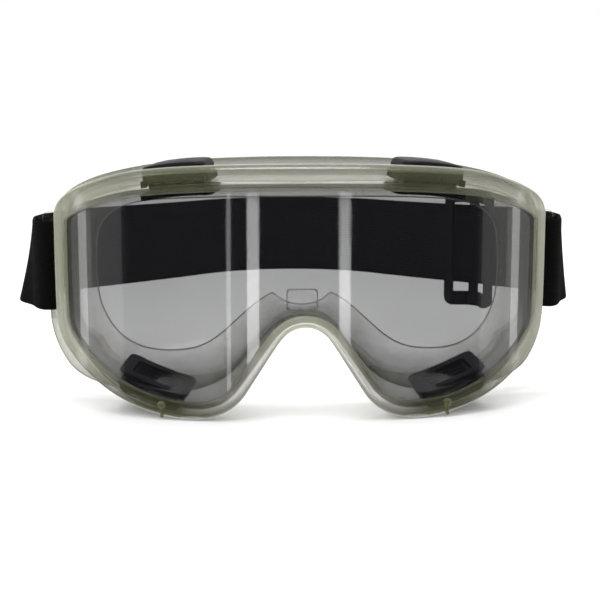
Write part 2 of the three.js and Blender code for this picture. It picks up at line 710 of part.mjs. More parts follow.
// Stand it on z = 0 with its box centred over the origin.
const box = new THREE.Box3().setFromObject(goggles, true);
const centre = box.getCenter(new THREE.Vector3());
for (const mesh of goggles.children) {
  mesh.geometry.translate(-centre.x, -centre.y, -box.min.z);
}

export default goggles;
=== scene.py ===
"""Looks for wide-vision safety goggles: soft vinyl frame, bent clear lens, vents, woven strap and slider.

Shapes are worked out in millimetres with y = 0 at the middle of the lens's front and z = 0 just under the
lobes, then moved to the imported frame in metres. +X is right as seen from the front, +Y is back towards the
face and +Z is up.
"""

import math

import bmesh
import bpy
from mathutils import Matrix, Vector


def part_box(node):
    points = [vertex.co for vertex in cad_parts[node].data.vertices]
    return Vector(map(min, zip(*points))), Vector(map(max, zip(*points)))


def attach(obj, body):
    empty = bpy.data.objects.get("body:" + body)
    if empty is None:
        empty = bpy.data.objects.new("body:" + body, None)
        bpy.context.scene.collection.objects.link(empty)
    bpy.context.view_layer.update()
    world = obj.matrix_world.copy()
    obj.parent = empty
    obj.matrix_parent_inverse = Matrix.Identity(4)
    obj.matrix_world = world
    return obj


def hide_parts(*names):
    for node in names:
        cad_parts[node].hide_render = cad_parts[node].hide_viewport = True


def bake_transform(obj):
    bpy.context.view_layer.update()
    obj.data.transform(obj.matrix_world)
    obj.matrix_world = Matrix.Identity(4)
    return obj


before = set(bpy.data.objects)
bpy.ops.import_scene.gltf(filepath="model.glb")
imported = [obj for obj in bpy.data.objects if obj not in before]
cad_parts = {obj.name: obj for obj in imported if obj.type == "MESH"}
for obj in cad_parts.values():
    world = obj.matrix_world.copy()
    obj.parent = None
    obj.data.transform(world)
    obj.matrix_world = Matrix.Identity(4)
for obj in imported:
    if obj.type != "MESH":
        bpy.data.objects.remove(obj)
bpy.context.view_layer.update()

# ---------------------------------------------------------------- sizes, in millimetres
LENS_FRONT_RADIUS = 170.0
LENS_FRONT_HALF_WIDTH = 46.0
LENS_SIDE_RADIUS = 62.0
LENS_THICKNESS = 2.0
LENS_GRIP = 2.2

RIM_FRONT = 1.7
RIM_BACK = 5.2
RIM_BEVEL = 1.5
GROOVE_PLAY = 0.3
GROOVE_DEPTH = 2.5
WALL = 1.9
FLANGE = 1.6

STRAP_WIDTH = 31.0
STRAP_THICKNESS = 1.4
STRAP_MIDDLE = 46.5
STRAP_LAYER = 0.85
STRAP_TURNS = [(105.3, 71.3, 17.0), (0.0, 171.7, 50.0), (-105.3, 71.3, 17.0)]
STRAP_LEAN = {"right": 2.3, "left": 4.0}
STRAP_TUCK = 4.2
STRAP_DIP = 0.9
STRAP_STEP = 2
# Distances from a bar at which the lean and the tuck start, are full, start to fade and are gone.
STRAP_BULGE = (4, 26, 38, 60)
# Two places along Y, which the strap's code turns into points of the frame and then does not use.
STRAP_BLEND = (50, 68)
LOOP_RADIUS = 3.0
LOOP_MERGE = 11.0
FOLD_END = 37.0
TAIL_END = 62.5
LUG_BAR = (87.6, 46.5)
LUG_BAR_SIZE = 2.8
LUG_INNER = 77.5
LUG_SLOT = (80.6, 86.2)
LUG_SLOT_HEIGHT = 32.0
LUG_ARM = 2.6
NOSE_TAB = (10.6, 7.4, 1.2)
NOSE_TAB_PLACE = (0, 26.4, 36.7)
LENS_KEY_PLACE = (46.5, 6.1)

# The two rows of stitches: one this far from the left bar, one this far from the tail's end.
FOLD_TACK = 33.0
TAIL_TACK = 4.0
TACK_STITCHES = 26
TACK_HALF_HEIGHT = 13.2
TACK_HALF_WIDTH = 0.95
STITCH_RADIUS = 0.24
# Levels of a stitch: place along it, lift off the webbing and girth, both as parts of its radius.
STITCH_LEVELS = [(0, -0.5, 0.5), (0.12, 0.5, 1), (0.5, 0.9, 1.1), (0.88, 0.5, 1), (1, -0.5, 0.5)]
STITCH_FLATNESS = 0.7
SLIDER_ROUNDING = 0.4

# Rounded rectangles of a vent, as length, width and corner radius.
VENT_RING = (24.5, 16.5, 3.0)
VENT_OPENING = (16.8, 9.6, 1.4)
VENT_NECK = (18.6, 11.8, 1.5)
VENT_CAP = (21.6, 16.0, 3.0)
# How far the neck of a vent reaches out of the wall.
VENT_NECK_END = 2.6
# Each row of vents: middle of its inner face, direction along the wall and across it, how far the plug
# stands in from the wall and the hood out of it, and the radius it is bent to along the wall.
VENT_PLACES = {
    "top": {
        "face": (39.8, 20.9, 73.0),
        "along": (0.965, 0.24, -0.11),
        "across": (-0.236, 0.969, 0.06),
        "ring": 2.4,
        "cap": 6.6,
        "round": 110,
    },
    "bottom": {
        "face": (48.3, 22.4, 12.1),
        "along": (-0.925, -0.128, -0.357),
        "across": (-0.199, 0.965, 0.17),
        "ring": 1.1,
        "cap": 4.8,
        "round": 90,
    },
}

# Outlines of the right half, as eight Bezier curves each: brow, brow corner, temple, cheek corner, cheek,
# lobe, side of the nose, arch of the nose. The rim's is on the flat sheet of the lens, as width and
# height. The flange's outline and its opening for the face are places in space.
RIM_OUTLINE = [
    [(0, 83.6), (34, 83.6), (54, 82.4), (66, 79.3)],
    [(66, 79.3), (79, 75.9), (94.2, 73), (94.2, 64)],
    [(94.2, 64), (94.2, 54), (94.4, 44), (93.8, 34)],
    [(93.8, 34), (93.4, 28), (91.5, 24.2), (87.5, 21)],
    [(87.5, 21), (76, 11.8), (57, 1.3), (38, 0.8)],
    [(38, 0.8), (30, 0.6), (23.5, 3.6), (19.5, 9.6)],
    [(19.5, 9.6), (15.8, 15.2), (12.2, 21), (8.8, 26)],
    [(8.8, 26), (6.3, 29.6), (3.6, 31.4), (0, 31.4)],
]
FLANGE_OUTLINE = [
    [(0, 36, 84.4), (26, 36, 84.4), (44, 39, 83.2), (58, 45, 80.2)],
    [(58, 45, 80.2), (71, 50.6, 77.4), (85.2, 57, 73), (86.6, 61, 62)],
    [(86.6, 61, 62), (87.8, 64.4, 52.6), (89, 63.5, 40), (88.8, 58.5, 30)],
    [(88.8, 58.5, 30), (88.7, 56, 25), (87, 52.2, 18.7), (82, 47.5, 12.5)],
    [(82, 47.5, 12.5), (77, 42.8, 5.6), (62, 34.4, 3), (42, 30.5, 4.4)],
    [(42, 30.5, 4.4), (34, 29, 5), (27, 28.3, 8), (22.5, 27.6, 13)],
    [(22.5, 27.6, 13), (19, 27, 17), (14.5, 26, 22.5), (11, 25, 26.5)],
    [(11, 25, 26.5), (7.5, 24.2, 30), (4, 23.5, 31.8), (0, 23.5, 31.8)],
]
FLANGE_OPENING = [
    [(0, 34.5, 70.6), (24, 34.5, 70.6), (38, 36.5, 70.4), (50, 41, 69.2)],
    [(50, 41, 69.2), (60, 44.8, 68.2), (69, 53, 64.5), (71, 57, 56)],
    [(71, 57, 56), (72, 59, 51.5), (72.3, 58, 42), (70.6, 54.5, 34.5)],
    [(70.6, 54.5, 34.5), (70, 52.8, 31.5), (67.6, 50, 26.6), (64, 46.5, 23.4)],
    [(64, 46.5, 23.4), (57.5, 40.2, 17.6), (48, 33.6, 17.8), (39, 32.2, 19.2)],
    [(39, 32.2, 19.2), (33.5, 31.4, 20), (29.5, 31, 22.8), (25.5, 30.6, 26.4)],
    [(25.5, 30.6, 26.4), (20.5, 30.2, 31), (15, 30, 36.6), (10.4, 29.8, 38.6)],
    [(10.4, 29.8, 38.6), (9, 29.2, 39.6), (7.8, 27.6, 35.2), (0, 27, 35.2)],
]
# Steps along each curve; then the lip's width, the wall's inset from the rim and the wall's inset from the
# flange's outline, at the start of each curve and the end of the last.
STEPS = [26, 22, 14, 12, 26, 18, 12, 12]
LIP_WIDTH = [8.2, 8.4, 8.6, 8.4, 7.4, 6.4, 5.2, 4.4, 4.4]
WALL_INSET = [6, 5, 3.2, 3.8, 4.8, 4.8, 2.6, 1.2, 1]
FLANGE_INSET = [6.4, 5, 3.5, 3.8, 14, 6.8, 2.4, 1, 0.8]

# Where the vinyl turns a pale, cloudy colour: round the top of the nose, as its own cloudiness, and from a
# place across towards the side, as painted light for bright streaks there. Thin vinyl turns pale too, partly
# its own cloudiness and partly painted light that lifts its shade, but not round the bottom vents.
NOSE_TOP = RIM_OUTLINE[-1][-1][1]
NOSE_REACH = 26
SIDE_START = 62
SIDE_REACH = 20
LOW_VENT_MIDDLE = 49
LOW_VENT_REACH = 12
LOW_VENT_TOP = 30
# The vinyl's body, or how much it clouds the view, runs from 0 to this.
MOST_BODY = 1.4

# Where this file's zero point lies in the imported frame.
ORIGIN = Vector(
    (0.0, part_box("lens")[0].y * 1000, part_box("strap_band")[0].z * 1000 - STRAP_MIDDLE + STRAP_WIDTH / 2)
)


def in_frame(point):
    """A point of this file, in millimetres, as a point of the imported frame, in metres."""
    return (Vector(point) + ORIGIN) / 1000


# ---------------------------------------------------------------- meshes
def new_piece(name, points, faces, material, sharp=38):
    """A closed mesh piece with outward faces, smooth except across its sharp edges."""
    mesh = bpy.data.meshes.new(name)
    mesh.from_pydata([in_frame(p) for p in points], [], faces)
    made = bmesh.new()
    made.from_mesh(mesh)
    bmesh.ops.remove_doubles(made, verts=made.verts, dist=1e-7)
    bmesh.ops.recalc_face_normals(made, faces=made.faces)
    made.to_mesh(mesh)
    made.free()
    mesh.shade_smooth()
    mesh.set_sharp_from_angle(angle=math.radians(sharp))
    mesh.materials.append(material)
    piece = bpy.data.objects.new(name, mesh)
    bpy.context.collection.objects.link(piece)
    return piece


def even_normals(piece):
    """Keeps wide faces flat-looking beside narrow rounded edges."""
    modifier = piece.modifiers.new("even_normals", "WEIGHTED_NORMAL")
    modifier.keep_sharp = True
    modifier.weight = 80


def skin(sections, ring=False):
    """Points and faces of a surface through equal closed sections, capped unless it runs in a ring."""
    size = len(sections[0])
    points = [p for section in sections for p in section]
    faces = []
    spans = len(sections) if ring else len(sections) - 1
    for i in range(spans):
        a = i * size
        b = ((i + 1) % len(sections)) * size
        for j in range(size):
            k = (j + 1) % size
            faces.append((a + j, a + k, b + k, b + j))
    if not ring:
        last = (len(sections) - 1) * size
        faces.append(tuple(reversed(range(size))))
        faces.append(tuple(range(last, last + size)))
    return points, faces


def rounded_section(points, radii):
    """A closed section with each corner replaced by a three-point curve of about the radius given."""
    result = []
    for i, (corner, radius) in enumerate(zip(points, radii)):
        before = points[i - 1] - corner
        after = points[(i + 1) % len(points)] - corner
        start = corner + before.normalized() * min(radius, 0.42 * before.length)
        end = corner + after.normalized() * min(radius, 0.42 * after.length)
        result += [start, (start + 2 * corner + end) / 4, end]
    return result


def mirrored(points):
    return [Vector((-p[0], p[1], p[2])) for p in points]


def bezier(points, t):
    weights = ((1 - t) ** 3, 3 * t * (1 - t) ** 2, 3 * t * t * (1 - t), t**3)
    return Vector([sum(w * p[axis] for w, p in zip(weights, points)) for axis in range(len(points[0]))])


def bezier_slope(points, t):
    weights = ((1 - t) ** 2, 2 * t * (1 - t), t * t)
    steps = [Vector(b) - Vector(a) for a, b in zip(points, points[1:])]
    return sum((step * w for step, w in zip(steps, weights)), Vector([0.0] * len(points[0])))


def lerp(a, b, t):
    return a + (b - a) * t


def smooth(t):
    t = min(1.0, max(0.0, t))
    return t * t * (3 - 2 * t)


# ---------------------------------------------------------------- the bent sheet and the frame
FRONT_ANGLE = math.asin(LENS_FRONT_HALF_WIDTH / LENS_FRONT_RADIUS)
FRONT_ARC = LENS_FRONT_RADIUS * FRONT_ANGLE


def bend(w, z, v):
    """A place on the flat sheet, w across and z up, and v behind its front, as a point in space."""
    arc = abs(w)
    radius = LENS_FRONT_RADIUS if arc <= FRONT_ARC else LENS_SIDE_RADIUS
    angle = arc / radius if arc <= FRONT_ARC else FRONT_ANGLE + (arc - FRONT_ARC) / radius
    shift = LENS_FRONT_RADIUS - radius
    x = shift * math.sin(FRONT_ANGLE) + (radius - v) * math.sin(angle)
    y = LENS_FRONT_RADIUS - shift * math.cos(FRONT_ANGLE) - (radius - v) * math.cos(angle)
    return Vector((math.copysign(x, w), y, z))


class Station:
    """One place round the frame: curve number c and place t along it."""

    def __init__(self, c, t):
        self.w, self.z = bezier(RIM_OUTLINE[c], t)
        slope = bezier_slope(RIM_OUTLINE[c], t).normalized()
        self.out = Vector((-slope.y, slope.x))
        self.lip = lerp(LIP_WIDTH[c], LIP_WIDTH[c + 1], t)
        self.inset = lerp(WALL_INSET[c], WALL_INSET[c + 1], t)
        self.flange_inset = lerp(FLANGE_INSET[c], FLANGE_INSET[c + 1], t)
        self.flange_out = bezier(FLANGE_OUTLINE[c], t)
        self.flange_in = bezier(FLANGE_OPENING[c], t)

    def rim(self, u, v):
        """A point of the rim, u outwards from its outline and v behind the lens's front."""
        return bend(self.w + u * self.out.x, self.z + u * self.out.y, v)

    def flange(self, inset):
        """A point of the flange, inset from its outline towards the opening for the face."""
        inwards = (self.flange_in - self.flange_out).normalized()
        return self.flange_out + inwards * inset


def half_stations():
    """The stations of the right half, from the middle of the brow to the middle of the nose."""
    inner = [Station(c, i / steps) for c, steps in enumerate(STEPS) for i in range(steps)]
    return inner + [Station(len(STEPS) - 1, 1.0)]


def frame_corners(s):
    """The corners of the frame's closed section, from the rim's front inwards and round to its side. Each
    has its place, its rounding, the vinyl's body there, and how much of a thick edge's colour shows at each
    of the three points of its rounding."""
    groove = s.lip - GROOVE_DEPTH
    lens_back = LENS_THICKNESS + GROOVE_PLAY
    back = Vector((0, FLANGE, 0))
    plain = (0, 0, 0)
    return [
        (s.rim(-RIM_BEVEL, -RIM_FRONT), 0.7, 1.1, (0, 0.3, 0)),
        (s.rim(0.4 - s.lip, -RIM_FRONT), 0.6, 0.8, plain),
        (s.rim(-s.lip, 0.4 - RIM_FRONT), 0.4, 0.8, plain),
        (s.rim(-s.lip, -GROOVE_PLAY), 0.15, 0.4, plain),
        (s.rim(-groove, -GROOVE_PLAY), 0.1, 0.0, plain),
        (s.rim(-groove, lens_back), 0.1, 0.0, plain),
        (s.rim(0.6 - s.lip, lens_back), 0.2, 0.0, plain),
        (s.rim(1.2 - s.lip, lens_back + 1.7), 0.5, 0.5, plain),
        (s.rim(-s.inset - WALL, lens_back + 3.7), 1.5, 0.3, plain),
        (s.flange(s.flange_inset + WALL), 1.6, 0.35, plain),
        (s.flange_in, 0.6, 0.15, (0, 1.2, 1.2)),
        (s.flange_in + back, 0.6, 0.15, (1.2, 1.2, 0)),
        (s.flange_out + back, 0.5, 1.4, (0, 0.5, 0.5)),
        (s.flange_out, 0.5, 1.4, (0.5, 0.5, 0)),
        (s.flange(s.flange_inset), 1.2, 0.35, plain),
        (s.rim(-s.inset, RIM_BACK + 1.8), 1.2, 0.4, plain),
        (s.rim(-0.3, RIM_BACK), 0.6, 1.3, (0, 0.5, 0.5)),
        (s.rim(0, RIM_BACK - 1), 0.5, 1.3, (0.4, 0.2, 0)),
        (s.rim(0, 1), 1.2, 1.3, (0, 0.3, 0)),
    ]


def cloudiness_and_painted_light_amount(s, body):
    """How far the vinyl's colour goes to a pale, cloudy one, up to 1: most where it is thin, partly its own
    cloudiness and partly painted light over shade; some over the nose; and at the sides as painted light for
    bright streaks.
    """
    place = s.rim(0, 0)
    nose = 0.5 * smooth(1 - math.hypot(place.x, place.z - NOSE_TOP) / NOSE_REACH)
    # Painted light: the vinyl is made paler towards the sides, for the bright streaks on the side walls.
    side = 0.3 * smooth((place.x - SIDE_START) / SIDE_REACH)
    vent = smooth(2 - abs(place.x - LOW_VENT_MIDDLE) / LOW_VENT_REACH)
    if place.z >= LOW_VENT_TOP:
        vent = 0.0
    # Thin vinyl is made paler, partly for its own cloudiness and partly as painted light that lifts its
    # shade.
    return max(nose, side, (1 - 1.3 * body) * (1 - vent))


def point_values(piece, name, values):
    """Stores one number for each point of the mesh, for a material to read."""
    attribute = piece.data.attributes.new(name, "FLOAT", "POINT")
    for item, value in zip(attribute.data, values):
        item.value = value


def soft_frame(material):
    """The frame in one piece: rim with the lens groove, wall and flange."""
    stations = half_stations()
    right = []
    for s in stations:
        places, radii, bodies, edges = zip(*frame_corners(s))
        right.append(rounded_section(places, radii))
    left = [mirrored(section) for section in reversed(right[1:-1])]
    points, faces = skin(right + left, ring=True)
    piece = new_piece("soft_frame", points, faces, material, sharp=60)
    around = stations + stations[-2:0:-1]
    # Body and edge are the same in every section, and each corner has three points.
    section_body = [body for body in bodies for _ in range(3)]
    section_edge = [value for edge in edges for value in edge]
    point_values(piece, "body", section_body * len(around))
    point_values(piece, "edge", section_edge * len(around))
    point_values(piece, "cloudiness_and_painted_light", [cloudiness_and_painted_light_amount(s, body) for s in around for body in section_body])
    even_normals(piece)
    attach(piece, "goggle")
    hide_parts("frame_rim", "frame_wall", "face_flange")


# ---------------------------------------------------------------- lens
def run_height(run, w):
    """Height of a run of outline points at a distance w along the sheet."""
    for (w0, z0), (w1, z1) in zip(run, run[1:]):
        if w <= w1 + 1e-9 and w1 > w0:
            return z0 + (z1 - z0) * max(0.0, w - w0) / (w1 - w0)
    return run[-1][1]


def clear_lens(material):
    """The lens, held by its edge in the rim's groove."""
    outline = []
    for s in half_stations():
        inset = s.lip - LENS_GRIP
        outline.append((s.w - inset * s.out.x, s.z - inset * s.out.y))
    widest = max(range(len(outline)), key=lambda i: outline[i][0])
    upper = outline[: widest + 1]
    lower = outline[widest:][::-1]
    end = outline[widest][0] - 0.05
    rows = 24
    columns = 60
    sections = []
    for i in range(-columns, columns + 1):
        w = end * math.sin(i / columns * math.pi / 2)
        top = run_height(upper, abs(w))
        bottom = run_height(lower, abs(w))
        heights = [lerp(bottom, top, j / rows) for j in range(rows + 1)]
        front = [bend(w, z, 0) for z in heights]
        back = [bend(w, z, LENS_THICKNESS) for z in reversed(heights)]
        sections.append(front + back)
    points, faces = skin(sections)
    piece = new_piece("clear_lens", points, faces, material)
    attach(piece, "goggle")
    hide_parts("lens")


# ---------------------------------------------------------------- vents
def rounded_loop(length, width, radius):
    """A rounded rectangle as a loop of points, always with the same number of points."""
    x, y = length / 2 - radius, width / 2 - radius
    arcs = []
    for quarter, (cx, cy) in enumerate([(x, y), (-x, y), (-x, -y), (x, -y)]):
        turns = [(quarter + i / 5) * math.pi / 2 for i in range(6)]
        arcs.append([(cx + radius * math.cos(turn), cy + radius * math.sin(turn)) for turn in turns])
    points = []
    for arc, following in zip(arcs, arcs[1:] + arcs[:1]):
        (x0, y0), (x1, y1) = arc[-1], following[0]
        points += arc
        points += [(lerp(x0, x1, i / 8), lerp(y0, y1, i / 8)) for i in range(1, 8)]
    return points


def stack(levels, place, ring):
    """A skin through rounded rectangles: each level is (length, width, radius, height)."""
    sections = [[place(x, y, level[3]) for x, y in rounded_loop(*level[:3])] for level in levels]
    return skin(sections, ring)


def wall_place(row, side):
    """A function that places a along the frame's wall, b towards the face and h out of the wall."""
    along = Vector(row["along"]).normalized()
    out = along.cross(Vector(row["across"])).normalized()
    across = out.cross(along)
    centre = Vector(row["face"]) + out * (WALL + row["ring"])

    def place(a, b, h):
        point = centre + along * a + across * b + out * (h - a * a / (2 * row["round"]))
        return Vector((side * point.x, point.y, point.z))

    return place


def vent_plug(name, node, place, ring, material):
    """The ring inside the wall, rounded over into the opening, with a neck out through the wall."""
    foot = -WALL - 0.1
    face = -WALL - ring
    levels = [
        (*VENT_RING, foot),
        (*VENT_RING, face + 0.7),
        (24.1, 16.1, 2.9, face + 0.2),
        (23.3, 15.3, 2.6, face),
        (17.2, 10.4, 1.6, face),
        (16.5, 9.7, 1.5, face + 0.15),
        (*VENT_OPENING, face + 0.5),
        (*VENT_OPENING, VENT_NECK_END),
        (*VENT_NECK, VENT_NECK_END),
        (*VENT_NECK, foot),
    ]
    points, faces = stack(levels, place, ring=True)
    piece = new_piece(name, points, faces, material)
    even_normals(piece)
    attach(piece, "goggle")
    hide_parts(node)


def box_mesh(place, centre, size, parts=4):
    """Points and faces of a slim block laid along a on the wall, cut into parts so that it can bend."""
    (a, b, h), (da, db, dh) = centre, size
    corners = [(-0.5, -0.5), (0.5, -0.5), (0.5, 0.5), (-0.5, 0.5)]
    sections = []
    for i in range(parts + 1):
        x = a + da * (i / parts - 0.5)
        sections.append([place(x, b + db * p, h + dh * q) for p, q in corners])
    return skin(sections)


def joined(parts):
    """Several sets of points and faces as one."""
    points, faces = [], []
    for more_points, more_faces in parts:
        start = len(points)
        points += more_points
        faces += [tuple(i + start for i in face) for face in more_faces]
    return points, faces


def vent_screen(name, node, place, ring, material):
    """Louvre bars set back in the plug's opening, over a thin back plate."""
    height = 1.9 - WALL - ring
    length, width, _ = VENT_OPENING
    bars = [box_mesh(place, (0, b, height), (length - 0.8, 0.7, 1.0)) for b in (-3.6, -1.8, 0, 1.8, 3.6)]
    ends = [box_mesh(place, (a, 0, height + 0.1), (0.8, width - 0.8, 1.3)) for a in (-7.4, 0, 7.4)]
    plate = [box_mesh(place, (0, 0, height + 1.1), (length - 0.8, width - 0.8, 0.6))]
    points, faces = joined(bars + ends + plate)
    piece = new_piece(name, points, faces, material)
    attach(piece, "goggle")
    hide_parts(node)


def vent_cap(name, node, place, cap, material):
    """The hooded cover outside, rounded at its edges, on short posts that leave air slots round it."""
    length, width, radius = VENT_CAP
    under = 1.9
    levels = [
        (length - 3, width - 3, radius - 1.2, under),
        (length, width, radius, under),
        (length, width, radius, cap - 1.5),
        (length - 0.5, width - 0.5, radius, cap - 0.7),
        (length - 1.8, width - 1.8, radius - 0.3, cap - 0.15),
        (length - 3.4, width - 3.4, radius - 0.6, cap),
        (length / 2, width / 2, 0.8, cap + 0.25),
        (1, 1, 0.3, cap + 0.3),
    ]
    hood = stack(levels, place, ring=False)
    posts = []
    for a in (-9.9, -3.3, 3.3, 9.9):
        for b in (-7.5, 7.5):
            posts.append(box_mesh(place, (a, b, 1.1), (1.7, 1.3, 2.2), parts=1))
    for a in (-10.5, 10.5):
        posts.append(box_mesh(place, (a, 0, 1.1), (1.3, 9.0, 2.2), parts=1))
    points, faces = joined([hood, *posts])
    piece = new_piece(name, points, faces, material)
    even_normals(piece)
    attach(piece, "goggle")
    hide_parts(node)


def vents(plastic, screen):
    for row_name, row in VENT_PLACES.items():
        for side_name, side in (("right", 1), ("left", -1)):
            place = wall_place(row, side)
            tag = f"{row_name}_{side_name}"
            vent_plug(f"vent_ring_{tag}", f"vent_plug_{tag}", place, row["ring"], plastic)
            vent_screen(f"vent_louvre_{tag}", f"vent_grid_{tag}", place, row["ring"], screen)
            vent_cap(f"vent_hood_{tag}", f"vent_cap_{tag}", place, row["cap"], plastic)


# ---------------------------------------------------------------- small parts moulded on the frame
def upright_place(x, y, z):
    """A function that places a across, b up and h towards the face from a point."""
    return lambda a, b, h: Vector((x + a, y + h, z + b))


def both_faces(edge):
    """Insets and heights over the edge of a plate, from those of its front half."""
    return edge + [(inset, -h) for inset, h in reversed(edge)]


def strap_lug(side_name, side, material):
    """The eye for the strap: an upright bar on two arms, all with rounded edges."""
    outer_x = LUG_BAR[0] + LUG_BAR_SIZE / 2
    outer = (outer_x - LUG_INNER, LUG_SLOT_HEIGHT + 2 * LUG_ARM)
    slot = (LUG_SLOT[1] - LUG_SLOT[0], LUG_SLOT_HEIGHT)
    half = LUG_BAR_SIZE / 2
    rounding = both_faces([(0.9, -half), (0.25, -half + 0.3), (0, -half + 0.9)])
    place = upright_place((outer_x + LUG_INNER) / 2, LUG_BAR[1], STRAP_MIDDLE)
    levels = [(outer[0] - 2 * inset, outer[1] - 2 * inset, 2.2, h) for inset, h in rounding]
    levels += [(slot[0] + 2 * inset, slot[1] + 2 * inset, 1.4, h) for inset, h in reversed(rounding)]
    points, faces = stack(levels, place, ring=True)
    points = points if side > 0 else mirrored(points)
    piece = new_piece(f"lug_{side_name}", points, faces, material)
    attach(piece, "goggle")
    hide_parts(f"strap_lug_{side_name}")


def nose_tab(material):
    """The small tab that stands on the flange above the nose."""
    length, height, radius = NOSE_TAB
    rounding = both_faces([(0.5, -0.8), (0.1, -0.65), (0, -0.3)])
    levels = [(length - 2 * inset, height - 2 * inset, radius, h) for inset, h in rounding]
    points, faces = stack(levels, upright_place(*NOSE_TAB_PLACE), ring=False)
    piece = new_piece("nose_tab", points, faces, material)
    point_values(piece, "edge", [0 if abs(p.y - NOSE_TAB_PLACE[1]) > 0.75 else 0.8 for p in points])
    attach(piece, "goggle")


def lens_key(side_name, side, material):
    """A stud with a short stem on the lower lip, where the lens is keyed in its groove."""
    along, height = LENS_KEY_PLACE
    head = [(2.6, 2.6, 1.29, -0.3), (2.6, 2.6, 1.29, 0.35), (2.1, 2.1, 1.04, 0.6), (1.0, 1.0, 0.49, 0.7)]
    stem = [(1.1, 3.6, 0.4, -0.3), (1.1, 3.6, 0.4, 0.25), (0.8, 3.3, 0.3, 0.4)]
    stem_drop = 2.4

    def place(a, b, h):
        return bend(side * (along + a), height + b, -RIM_FRONT - h)

    def lowered(a, b, h):
        return place(a, b - stem_drop, h)

    points, faces = joined([stack(head, place, ring=False), stack(stem, lowered, ring=False)])
    piece = new_piece(f"lens_key_{side_name}", points, faces, material)
    point_values(piece, "body", [1.0] * len(points))
    point_values(piece, "edge", [0.3] * len(points))
    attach(piece, "goggle")


# ---------------------------------------------------------------- strap
class Stretch:
    """A straight or evenly bent stretch of the strap's path, with its bend in turn per length."""

    def __init__(self, start, heading, length, bend_rate):
        self.start = start
        self.heading = heading
        self.length = length
        self.bend = bend_rate


def strap_stretches():
    """The strap's path from bar to bar, as straight and round stretches."""
    corners = [(*LUG_BAR, 0.0), *STRAP_TURNS, (-LUG_BAR[0], LUG_BAR[1], 0.0)]
    places = [Vector(corner[:2]) for corner in corners]
    stretches = []
    start = places[0]
    for i in range(1, len(corners)):
        heading = (places[i] - places[i - 1]).normalized()
        following = (places[i + 1] - places[i]).normalized() if i + 1 < len(places) else heading
        turn = math.acos(min(1.0, max(-1.0, heading.dot(following))))
        radius = corners[i][2]
        end = places[i] - heading * radius * math.tan(turn / 2)
        stretches.append(Stretch(start, heading, (end - start).length, 0.0))
        if radius > 0:
            stretches.append(Stretch(end, heading, radius * turn, 1 / radius))
        start = places[i] + following * radius * math.tan(turn / 2)
    return stretches


STRETCHES = strap_stretches()
STRAP_LENGTH = sum(stretch.length for stretch in STRETCHES)


def turned(vector, angle):
    c, s = math.cos(angle), math.sin(angle)
    return Vector((vector.x * c - vector.y * s, vector.x * s + vector.y * c))


def strap_at(s):
    """Place, heading and outward direction at a length s along the strap from the right bar."""
    rest = s
    for stretch in STRETCHES:
        if rest <= stretch.length + 1e-9:
            break
        rest -= stretch.length
    angle = rest * stretch.bend
    heading = turned(stretch.heading, angle)
    chord = 2 * math.sin(angle / 2) / stretch.bend if stretch.bend else rest
    place = stretch.start + turned(stretch.heading, angle / 2) * chord
    return place, heading, Vector((heading.y, -heading.x))


def layer_centre(s, layer):
    """Middle of the outer layer (1) or the inner one (-1) at s, with the outward direction there and s."""
    place, _, out = strap_at(s)
    from_bar = min(s, STRAP_LENGTH - s)
    offset = lerp(LOOP_RADIUS, STRAP_LAYER, smooth(from_bar / LOOP_MERGE))
    return place + out * (layer * offset), out, s


def wrap_centres(s, turn_from, turn_to):
    """The webbing's middle round the bar at the end s of the path."""
    place, heading, out = strap_at(s)
    beyond = heading if s > 1 else -heading
    result = []
    for i in range(1, 8):
        angle = lerp(turn_from, turn_to, i / 8)
        offset = (out * math.cos(angle) + beyond * math.sin(angle)) * LOOP_RADIUS
        result.append((place + offset, out, s))
    return result


def span(start, stop):
    """Lengths along the strap, about a step apart."""
    count = round(abs(stop - start) / STRAP_STEP)
    return [lerp(start, stop, i / count) for i in range(count + 1)]


def strap_centres():
    """The whole webbing in order: sewn-back end, left bar, round the head, right bar, and the tail."""
    centres = [layer_centre(s, -1) for s in span(STRAP_LENGTH - FOLD_END, STRAP_LENGTH)]
    centres += wrap_centres(STRAP_LENGTH, math.pi, 0)
    centres += [layer_centre(s, 1) for s in span(STRAP_LENGTH, 0)]
    centres += wrap_centres(0, 0, math.pi)
    centres += [layer_centre(s, -1) for s in span(0, TAIL_END)]
    return centres


def beside_head(s):
    """From 0 at the bars up to 1 where the webbing is widest, and back to 0 before the slider."""
    start, full, fade, gone = STRAP_BULGE
    from_bar = min(s, STRAP_LENGTH - s)
    return smooth((from_bar - start) / (full - start)) * (1 - smooth((from_bar - fade) / (gone - fade)))


def strap_lean(s):
    """How far the lower edge stands out and the upper edge in, away from the bars: more on the left."""
    side = smooth(s / STRAP_LENGTH)
    return lerp(STRAP_LEAN["right"], STRAP_LEAN["left"], side) * beside_head(s)


def strap_tuck(s):
    """How far the webbing lies inside its widest path, near each side."""
    return STRAP_TUCK * beside_head(s)


def strap_dip(s):
    """How much lower the webbing hangs behind the head."""
    return STRAP_DIP * smooth((min(s, STRAP_LENGTH - s) - 20) / 100)


def settled(place, out, s, height):
    """A place in the webbing, a height above its middle line, leant, tucked in and dipped as at s."""
    level = place - out * (strap_lean(s) * height / (STRAP_WIDTH / 2) + strap_tuck(s))
    return Vector((level.x, level.y, STRAP_MIDDLE + height - strap_dip(s)))


def webbing_profile():
    """Points round the webbing's section, thickness first and height second, with rounded edges."""
    half_t, half_w = STRAP_THICKNESS / 2, STRAP_WIDTH / 2
    side = [(half_t, lerp(-half_w + 0.6, half_w - 0.6, i / 8)) for i in range(9)]
    edge = [(half_t * 0.75, half_w - 0.2), (0, half_w), (-half_t * 0.75, half_w - 0.2)]
    half = side + edge
    return half + [(-a, -b) for a, b in half]


